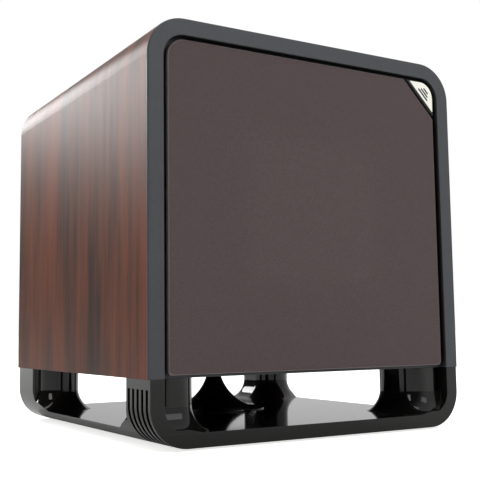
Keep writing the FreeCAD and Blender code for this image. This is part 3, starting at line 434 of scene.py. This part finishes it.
def wound_copper():
    """Enamelled copper wire wound side by side, with painted shade between the turns and a painted highlight
    along each turn's crown.
    """
    paint = Paint("wound_copper", Metallic=1.0)
    x, y, z = paint.parts(paint.place())
    # painted shade and highlight: the colour runs dark between turns and light along the crown of each turn
    turns = (y * (math.tau / 0.0004)).math("SINE") * 0.5 + 0.5
    paint.feed(
        Base_Color=paint.mix(turns, colour(92, 46, 26), colour(196, 116, 72)),
        Roughness=0.3 + turns * 0.1,
    )
    paint.bump(turns, 0.0001, 0.8)
    return paint.material


def circuit_board():
    """Green solder mask over copper tracks."""
    paint = Paint("circuit_board", Specular_IOR_Level=0.5)
    x, y, z = paint.parts(paint.place())
    tracks = (x * 1400).math("SINE") * (z * 1700).math("SINE")
    patches = paint.noise((60, 60, 60), 0.0)
    copper = paint.ramp(tracks + patches, 0.55, 0.62)
    paint.feed(
        Base_Color=paint.mix(copper, colour(14, 62, 38), colour(46, 112, 62)),
        Roughness=0.35 + patches * 0.2,
    )
    paint.bump(copper, 0.00004, 0.5)
    return paint.material


def lit_lens():
    """A small status lamp, lit blue."""
    paint = Paint("lit_lens", Emission_Strength=1.6, Coat_Weight=0.6)
    grain = paint.noise((1500, 1500, 1500), 1.0)
    paint.feed(
        Base_Color=paint.mix(grain, colour(40, 90, 150), colour(70, 130, 190)),
        Emission_Color=paint.mix(grain, colour(50, 130, 230), colour(120, 190, 255)),
        Roughness=0.2 + grain * 0.1,
    )
    return paint.material


def studio_floor():
    """A pale seamless floor: white to the eye, and as light dimmer towards the left."""
    paint = Paint("studio_floor", Specular_IOR_Level=0.1, Emission_Strength=1.0)
    x, y, z = paint.parts(paint.place())
    cloud = paint.noise((3, 3, 3), 2.0)
    eye = paint.add("LightPath", output="Is Camera Ray")
    glow = paint.ramp(x + cloud * 0.2, -0.4, 1.2, 0.0, 0.45)
    bounce = paint.mix(glow, colour(0, 0, 0), colour(255, 255, 255))
    paint.feed(
        Base_Color=paint.mix(cloud, colour(236, 236, 235), colour(242, 242, 241)),
        Emission_Color=paint.mix(eye, bounce, colour(226, 226, 224)),
        Roughness=0.85 + cloud * 0.05,
    )
    return paint.material


def make_finishes():
    """The finish that goes with each material slot of the record."""
    return {
        "walnut_wrap": walnut_veneer(),
        "fibreboard": fibreboard(),
        "wadding": loose_wadding(),
        "bezel_grey": satin_paint("bezel_grey", colour(64, 66, 70), colour(78, 80, 84), 0.42),
        "badge_metal": brushed_plate("badge_metal", colour(236, 233, 224), 0.42),
        "rubber_black": soft_rubber("rubber_black", colour(44, 44, 47), 0.5),
        "gasket_foam": soft_rubber("gasket_foam", colour(26, 26, 27), 0.85),
        "rim_silver": turned_metal("rim_silver", colour(208, 210, 216), 0.30),
        "chrome": turned_metal("chrome", colour(196, 198, 194), 0.07, 0.15),
        "basket_steel": moulded_plastic("basket_steel", colour(40, 41, 43), 0.45),
        "steel_black": plated_metal("steel_black", colour(52, 52, 55), 0.34),
        "plated_steel": plated_metal("plated_steel", colour(172, 174, 170), 0.3),
        "ferrite": moulded_plastic("ferrite", colour(44, 44, 46), 0.7, 300),
        "cone_champagne": cone_skin(),
        "spider_cloth": moulded_plastic("spider_cloth", colour(176, 140, 78), 0.8, 1500),
        "former_kapton": gloss_moulding("former_kapton", colour(178, 104, 30), 0.3, 0.2),
        "copper_coil": wound_copper(),
        "grille_plastic": moulded_plastic("grille_plastic", colour(24, 24, 25), 0.5),
        "grille_fabric": grille_knit(),
        "base_gloss": gloss_moulding("base_gloss", colour(16, 15, 14), 0.07, 0.0),
        "port_plastic": moulded_plastic("port_plastic", colour(26, 26, 27), 0.4),
        "amp_plate": brushed_plate("amp_plate", colour(28, 29, 31), 0.42),
        "heat_sink_black": brushed_plate("heat_sink_black", colour(22, 22, 24), 0.38, (1600, 60, 60)),
        "control_plastic": moulded_plastic("control_plastic", colour(24, 24, 26), 0.42),
        "nickel": plated_metal("nickel", colour(206, 200, 186), 0.18),
        "insert_plastic": moulded_plastic("insert_plastic", colour(150, 26, 24), 0.4),
        "led_lens": lit_lens(),
        "board_green": circuit_board(),
        "transformer_tape": gloss_moulding("transformer_tape", colour(176, 142, 46), 0.35, 0.2),
        "capacitor_sleeve": gloss_moulding("capacitor_sleeve", colour(24, 28, 52), 0.3, 0.3),
    }


# ---------------------------------------------------------------- shapes


def rounded_path(corners, steps=7):
    """The points of a closed line round corners (u, v, radius), each turned with its radius."""
    points = []
    for index, (u, v, radius) in enumerate(corners):
        here = Vector((u, v))
        back = (Vector(corners[index - 1][:2]) - here).normalized()
        ahead = (Vector(corners[(index + 1) % len(corners)][:2]) - here).normalized()
        opening = back.angle(ahead)
        middle = here + (back + ahead).normalized() * (radius / math.sin(opening / 2))
        spoke = here + back * (radius / math.tan(opening / 2)) - middle
        sweep = math.copysign(math.pi - opening, back.x * -ahead.y + back.y * ahead.x)
        for step in range(steps + 1):
            turn = Matrix.Rotation(sweep * step / steps, 2)
            points.append(middle + turn @ spoke)
    return points


def piece_from(name, points, faces, body, finish, smooth_below=38):
    """A new piece with its points in millimetres in the row frame, riding on a CAD body."""
    mesh = bpy.data.meshes.new(name)
    mesh.from_pydata([Vector(point) * MM for point in points], [], faces)
    mesh.update()
    return dress(name, mesh, body, finish, smooth_below)


def dress(name, mesh, body, finish, smooth_below=38):
    """Gives a mesh its finish and smooth shading, and puts it on its body as a piece."""
    mesh.validate()
    mesh.materials.clear()
    mesh.materials.append(finishes[finish])
    mesh.polygons.foreach_set("use_smooth", [True] * len(mesh.polygons))
    mesh.set_sharp_from_angle(angle=math.radians(smooth_below))
    piece = bpy.data.objects.new(name, mesh)
    bpy.context.scene.collection.objects.link(piece)
    if body:
        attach(piece, body)
    return piece


def skin_rings(rings, closed_rows=False, lids=False):
    """Faces between rings of points that follow each other."""
    count = len(rings[0])
    points = [point for ring in rings for point in ring]
    faces = []
    rows = len(rings) if closed_rows else len(rings) - 1
    for row in range(rows):
        here, there = row * count, (row + 1) % len(rings) * count
        for step in range(count):
            after = (step + 1) % count
            faces.append((here + step, here + after, there + after, there + step))
    if lids:
        faces.append(tuple(reversed(range(count))))
        faces.append(tuple(range(len(points) - count, len(points))))
    return points, faces


def turned_rings(profile, x=0.0, z=0.0, ripple=None):
    """Rings of a profile of (radius, y) turned round an axis along y."""
    rings = []
    for radius, y in profile:
        ring = []
        for step in range(STEPS_ROUND):
            angle = math.tau * step / STEPS_ROUND
            reach = radius + (ripple(radius, y, angle) if ripple else 0)
            ring.append((x + reach * math.cos(angle), y, z + reach * math.sin(angle)))
        rings.append(ring)
    return rings


def slab(name, outline, low, high, edge, body, finish):
    """A flat plate of an outline in x and z, from low to high along y, with rounded edges."""
    curve = bpy.data.curves.new(name + "_outline", "CURVE")
    curve.dimensions = "2D"
    curve.fill_mode = "BOTH"
    curve.extrude = (high - low) / 2 - edge
    curve.bevel_depth = edge
    curve.bevel_resolution = 2
    curve.offset = -edge
    line = curve.splines.new("POLY")
    line.points.add(len(outline) - 1)
    for point, (u, v) in zip(line.points, outline):
        point.co = (u, v, 0, 1)
    line.use_cyclic_u = True
    drawing = bpy.data.objects.new(name + "_drawing", curve)
    mesh = bpy.data.meshes.new_from_object(drawing)
    bpy.data.objects.remove(drawing)
    upright = Matrix(((1, 0, 0, 0), (0, 0, -1, (low + high) / 2), (0, 1, 0, 0), (0, 0, 0, 1)))
    mesh.transform(Matrix.Scale(MM, 4) @ upright)
    mesh.name = name
    return dress(name, mesh, body, finish)


def bowl_piece(name, front, finish):
    """A turned part that spans the gap between the cabinet and the cone."""
    points, faces = skin_rings(turned_rings(front, DRIVER.x, DRIVER.z), closed_rows=True)
    piece = piece_from(name, points, faces, None, finish)
    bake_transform(piece)
    return piece


# ---------------------------------------------------------------- pieces


def make_grille_cloth():
    """Cloth stretched over the frame, round its edges and a little way in behind it."""
    outline = rounded_path(
        [
            (-GRILLE_HALF, GRILLE_LOW, GRILLE_LOW_ROUND),
            (-GRILLE_HALF, GRILLE_TOP, GRILLE_HIGH_ROUND),
            (GRILLE_HALF - BADGE_CUT, GRILLE_TOP, GRILLE_TIP_ROUND),
            (GRILLE_HALF, GRILLE_TOP - BADGE_CUT, GRILLE_TIP_ROUND),
            (GRILLE_HALF, GRILLE_LOW, GRILLE_LOW_ROUND),
        ],
        steps=9,
    )
    turn_in = [(9.0, 0), (4.0, 0), (0.5, 0.1), (0.0, 0.7)]
    turns = [(inward, GRILLE_FRAME_BACK - ahead) for inward, ahead in turn_in]
    turns.append((0.0, GRILLE_FRONT + GRILLE_FOLD))
    for step in range(1, 9):
        angle = math.pi / 2 * step / 8
        inward = GRILLE_FOLD * (1 - math.cos(angle))
        turns.append((inward, GRILLE_FRONT + GRILLE_FOLD * (1 - math.sin(angle))))
    for inward in (5, 12, 30, 60, 95, 125, 145):
        sag = CLOTH_SAG * min(1, (inward / CLOTH_SAG_REACH) ** 2)
        turns.append((inward, GRILLE_FRONT + sag))
    rings = []
    for inward, y in turns:
        share = 1 - inward / GRILLE_HALF
        rings.append([(u * share, y, GRILLE_MIDDLE + (v - GRILLE_MIDDLE) * share) for u, v in outline])
    points, faces = skin_rings(rings)
    faces.append(tuple(range(len(points) - len(outline), len(points))))
    cloth = piece_from("grille_cloth_sheet", points, faces, "grille", "grille_fabric", 60)
    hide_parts("grille_cloth")


def make_surround():
    """Half-roll rubber surround."""
    skin = [Vector((LAND_OUTER, LAND_Y))]
    middle, reach = (ROLL_OUTER + ROLL_INNER) / 2, (ROLL_OUTER - ROLL_INNER) / 2
    for step in range(25):
        across = reach - 2 * reach * step / 24
        rise = math.sqrt(ROLL_RADIUS**2 - across * across) - ROLL_SET_BACK
        skin.append(Vector((middle + across, LAND_Y - rise)))
    skin += [Vector((ROLL_INNER - 0.8, LAND_Y)), Vector((LAND_INNER, LAND_Y))]
    behind = [Vector((point.x, point.y + RUBBER_THICKNESS)) for point in reversed(skin)]
    roll = bowl_piece("surround_roll", skin + behind, "rubber_black")
    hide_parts("surround")


def make_spider():
    """Corrugated cloth spider behind the cone."""
    skin = [Vector((SPIDER_RIM, SPIDER_Y)), Vector((SPIDER_SHELF, SPIDER_Y))]
    for step in range(61):
        share = step / 60
        wave = WAVE_HEIGHT * math.sin(share * math.tau * WAVE_COUNT)
        skin.append(Vector((WAVES_OUTER - (WAVES_OUTER - WAVES_INNER) * share, SPIDER_Y + wave)))
    behind = [Vector((point.x, point.y + SPIDER_THICKNESS)) for point in reversed(skin)]
    folds = bowl_piece("spider_folds", skin + behind, "spider_cloth")
    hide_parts("spider")


def corner_plate(right, top, reach, tip, corner):
    """The outline of a plate that fills an upper right corner up to a slanting edge."""
    return rounded_path([(right - reach, top, tip), (right, top, corner), (right, top - reach, tip)])


def make_badge():
    """Corner badge: a pale plate in a dark edge with three plain bars, held off the front by a post."""
    front = GRILLE_FRONT
    plate = corner_plate(**BADGE_PLATE)
    edge = slab("badge_edge", plate, front - 0.15, front + 2.4, 0.3, "cabinet", "grille_plastic")
    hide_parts("corner_badge")
    face = corner_plate(**BADGE_FACE)
    slab("badge_face", face, front - 0.6, front + 1, 0.35, "cabinet", "badge_metal")
    along, across = Vector((1, -1)).normalized(), Vector((1, 1)).normalized()
    for index, length in enumerate(BAR_LENGTHS):
        centre = BADGE_MIDDLE + across * (BAR_PITCH * index - BAR_SHIFT)
        corners = []
        for end, side in ((-1, -1), (1, -1), (1, 1), (-1, 1)):
            corner = centre + along * (end * length / 2) + across * (side * BAR_HALF_WIDTH)
            corners.append((corner.x, corner.y, 0.6))
        bar = rounded_path(corners)
        name = "badge_bar_%d" % (index + 1)
        slab(name, bar, front - 0.8, front - 0.3, 0.1, "cabinet", "grille_plastic")
    profile = [(5.6, front + 2), (5.6, front + 6.6), (5.7, front + 7.3), (6.0, front + 7.98)]
    points, faces = skin_rings(turned_rings(profile, *BADGE_POST), lids=True)
    piece_from("badge_post", points, faces, "cabinet", "grille_plastic")


def make_knobs():
    """Fluted control knobs with a pale pointer, and a ring of dots behind each."""
    low, top = PANEL_FACE + KNOB_GAP, PANEL_FACE + KNOB_GAP + KNOB_LENGTH

    def flutes(radius, y, angle):
        on_side = radius > 8.4 and low + 2.4 < y < top - 1.2
        return FLUTE_DEPTH * math.cos(angle * FLUTES) - 0.2 if on_side else 0.0

    profile = [(3, low), (9.2, low), (9.5, low + 0.3), (9.5, low + 1.8), (9.2, low + 2.2)]
    profile += [(9.2, low + 2.6), (8.9, top - 1.6), (8.5, top - 0.6), (7.8, top), (5, top - 0.25)]
    for node, (x, body) in KNOBS.items():
        points, faces = skin_rings(turned_rings(profile, x, CONTROL_ROW, flutes), lids=True)
        knob = piece_from(node + "_grip", points, faces, body, "control_plastic")
        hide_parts(node)
        inner, outer = CONTROL_ROW + 3, CONTROL_ROW + 7.6
        corners = [(x - 0.5, inner), (x - 0.5, outer), (x + 0.5, outer), (x + 0.5, inner)]
        pointer = rounded_path([(u, v, 0.4) for u, v in corners])
        slab(node + "_pointer", pointer, top - 0.35, top + 0.08, 0.08, body, "badge_metal")
        make_scale(node + "_scale", x)


def make_scale(name, x):
    """Printed dots on the panel round a knob, with a bigger one at the ends and in the middle."""
    dots = bmesh.new()
    for mark in range(SCALE_MARKS):
        angle = math.radians(240 - 30 * mark)
        size = 0.9 if mark % 5 == 0 else 0.55
        out, up = SCALE_RADIUS * math.cos(angle), SCALE_RADIUS * math.sin(angle)
        disc = bmesh.ops.create_cone(
            dots, cap_ends=True, segments=20, radius1=size, radius2=size * 0.8, depth=0.1
        )["verts"]
        bmesh.ops.rotate(dots, verts=disc, matrix=Euler((-math.pi / 2, 0, 0)).to_matrix())
        bmesh.ops.translate(dots, verts=disc, vec=Vector((x + out, PANEL_FACE + 0.04, CONTROL_ROW + up)))
    bmesh.ops.scale(dots, verts=dots.verts, vec=(MM, MM, MM))
    mesh = bpy.data.meshes.new(name)
    dots.to_mesh(mesh)
    dots.free()
    dress(name, mesh, "cabinet", "badge_metal")


def paint_nodes():
    """Every carried-over CAD piece gets the finish of its material slot."""
    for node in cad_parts.values():
        slot_name = node.data.materials[0].name
        node.data.materials[0] = finishes[slot_name]


# ---------------------------------------------------------------- studio


def soft_box(name, place, aim, width, height, power):
    """A soft rectangular light that faces the point aim."""
    light = bpy.data.lights.new(name, "AREA")
    light.shape = "RECTANGLE"
    light.size, light.size_y = width, height
    light.energy = power
    lamp = bpy.data.objects.new(name, light)
    bpy.context.scene.collection.objects.link(lamp)
    lamp.location = place
    lamp.rotation_euler = (Vector(aim) - Vector(place)).to_track_quat("-Z", "Y").to_euler()


def studio_world():
    """White to the eye; as light, dim on the left of the object and bright on its right and overhead."""
    world = bpy.data.worlds.new("studio")
    world.use_nodes = True
    tree = world.node_tree
    sky = tree.nodes["Background"]
    seen = tree.nodes.new("ShaderNodeBackground")
    way = tree.nodes.new("ShaderNodeTexCoord")
    parts = tree.nodes.new("ShaderNodeSeparateXYZ")
    lean = tree.nodes.new("ShaderNodeMath")
    lean.operation = "MULTIPLY_ADD"
    lean.inputs[1].default_value = SKY_TILT
    level = tree.nodes.new("ShaderNodeMapRange")
    level.interpolation_type = "SMOOTHSTEP"
    for name, value in SKY_RAMP.items():
        level.inputs[name].default_value = value
    eye = tree.nodes.new("ShaderNodeLightPath")
    either = tree.nodes.new("ShaderNodeMixShader")
    for light in (sky, seen):
        light.inputs["Color"].default_value = (1, 1, 1, 1)
    tree.links.new(way.outputs["Generated"], parts.inputs[0])
    tree.links.new(parts.outputs["Z"], lean.inputs[0])
    tree.links.new(parts.outputs["X"], lean.inputs[2])
    tree.links.new(lean.outputs[0], level.inputs["Value"])
    tree.links.new(level.outputs[0], sky.inputs["Strength"])
    tree.links.new(eye.outputs["Is Camera Ray"], either.inputs[0])
    tree.links.new(sky.outputs[0], either.inputs[1])
    tree.links.new(seen.outputs[0], either.inputs[2])
    tree.links.new(either.outputs[0], tree.nodes["World Output"].inputs["Surface"])
    return world


def make_studio():
    """Pale floor, surroundings that are white to the eye, and the soft boxes."""
    floor = bpy.data.meshes.new("floor")
    turns = [math.tau * side / FLOOR_SIDES for side in range(FLOOR_SIDES)]
    rim = [(FLOOR_RADIUS * math.cos(turn), FLOOR_RADIUS * math.sin(turn), 0) for turn in turns]
    floor.from_pydata(rim, [], [tuple(range(FLOOR_SIDES))])
    floor.materials.append(studio_floor())
    ground = bpy.data.objects.new("studio_floor", floor)
    bpy.context.scene.collection.objects.link(ground)

    bpy.context.scene.world = studio_world()
    for name, numbers in SOFT_BOXES.items():
        soft_box(name, *numbers)
    bpy.context.scene.view_settings.view_transform = "Standard"


def make_camera():
    """Low and to the left of the front, looking slightly up."""
    turn, rise, roll = (math.radians(angle) for angle in (VIEW_TURN, VIEW_RISE, VIEW_ROLL))
    ahead = Vector((math.sin(turn) * math.cos(rise), math.cos(turn) * math.cos(rise), math.sin(rise)))
    side = ahead.cross(Vector((0, 0, 1))).normalized()
    up = side.cross(ahead)
    right = side * math.cos(roll) + up * math.sin(roll)
    top = up * math.cos(roll) - side * math.sin(roll)
    camera = bpy.data.cameras.new("viewer")
    camera.sensor_width = VIEW_SENSOR
    camera.lens = VIEW_LENS
    viewer = bpy.data.objects.new("viewer", camera)
    bpy.context.scene.collection.objects.link(viewer)
    axes = Matrix((right, top, -ahead)).transposed().to_4x4()
    viewer.matrix_world = Matrix.Translation(VIEW_PLACE) @ axes
    bpy.context.scene.camera = viewer


finishes = make_finishes()
paint_nodes()
make_grille_cloth()
make_badge()
make_surround()
make_spider()
make_knobs()
make_studio()
make_camera()
